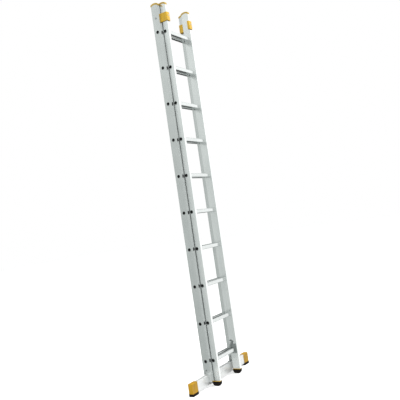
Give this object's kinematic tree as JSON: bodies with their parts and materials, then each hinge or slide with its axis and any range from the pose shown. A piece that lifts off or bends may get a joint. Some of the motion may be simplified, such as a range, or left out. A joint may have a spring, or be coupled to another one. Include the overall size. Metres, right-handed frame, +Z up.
{
  "type": "extension ladder",
  "caption": "Two-section aluminium extension ladder, closed, with box stiles, square rungs, guides, rung hooks, rubber feet and a stabiliser bar across its foot.",
  "frame": {"origin": "on the floor, under the middle of the closed ladder (centre of its box in X and Y, at the level of its feet)", "axes": "+X along the rungs towards the climber's right, +Y from the climber through the ladder towards the wall, +Z up along the stiles"},
  "size_m": [0.845, 0.1226, 2.938],
  "materials": {
    "stile_aluminium": "extruded, semi-gloss",
    "rung_aluminium": "extruded, satin, ribbed tread",
    "bar_aluminium": "extruded, satin",
    "yellow_plastic": "moulded, fine grain",
    "black_plastic": "moulded",
    "black_rubber": "moulded, matt",
    "galvanised_steel": "galvanised plate",
    "zinc_steel": "bright zinc"
  },
  "bodies": {
    "base_section": {"base_stile_left": "stile_aluminium", "base_stile_right": "stile_aluminium", "base_cap_left": "yellow_plastic", "base_cap_right": "yellow_plastic", "base_plug_left": "black_plastic", "base_plug_right": "black_plastic", "guide_left": "yellow_plastic", "guide_right": "yellow_plastic", "bar_cap_left": "yellow_plastic", "bar_cap_right": "yellow_plastic", "bar_sole_left": "black_rubber", "bar_sole_right": "black_rubber", "bar_angle_left": "zinc_steel", "bar_angle_right": "zinc_steel", "guide_bolts": "zinc_steel", "guide_screws": "zinc_steel", "stabiliser_bar": "bar_aluminium", "stile_bolts": "zinc_steel", "stile_nuts": "zinc_steel", "bar_bolts": "zinc_steel", "base_rung_1": "rung_aluminium", "base_rung_2": "rung_aluminium", "base_rung_3": "rung_aluminium", "base_rung_4": "rung_aluminium", "base_rung_5": "rung_aluminium", "base_rung_6": "rung_aluminium", "base_rung_7": "rung_aluminium", "base_rung_8": "rung_aluminium", "base_rung_9": "rung_aluminium", "base_rung_10": "rung_aluminium"},
    "fly_section": {"fly_stile_left": "stile_aluminium", "fly_stile_right": "stile_aluminium", "fly_cap_left": "yellow_plastic", "fly_cap_right": "yellow_plastic", "foot_socket_left": "yellow_plastic", "foot_socket_right": "yellow_plastic", "foot_pad_left": "black_rubber", "foot_pad_right": "black_rubber", "hook_plate_left": "galvanised_steel", "hook_plate_right": "galvanised_steel", "hook_pins": "zinc_steel", "hook_rivets": "zinc_steel", "fly_rung_1": "rung_aluminium", "fly_rung_2": "rung_aluminium", "fly_rung_3": "rung_aluminium", "fly_rung_4": "rung_aluminium", "fly_rung_5": "rung_aluminium", "fly_rung_6": "rung_aluminium", "fly_rung_7": "rung_aluminium", "fly_rung_8": "rung_aluminium", "fly_rung_9": "rung_aluminium", "fly_rung_10": "rung_aluminium"},
    "hook_left": {"hook_arm_left": "galvanised_steel"},
    "hook_right": {"hook_arm_right": "galvanised_steel"}
  },
  "joints": [
    {"name": "fly_slide", "type": "slide", "parent": "base_section", "child": "fly_section", "axis": [0, 0, 1], "range_m": [0, 1.96]},
    {"name": "hook_left_swing", "type": "hinge", "parent": "fly_section", "child": "hook_left", "pos_m": [-0.1356, 0.00325, 0.214], "axis": [-1, 0, 0], "range_deg": [0, 120]},
    {"name": "hook_right_swing", "type": "hinge", "parent": "fly_section", "child": "hook_right", "pos_m": [0.1356, 0.00325, 0.214], "axis": [-1, 0, 0], "range_deg": [0, 120]}
  ]
}
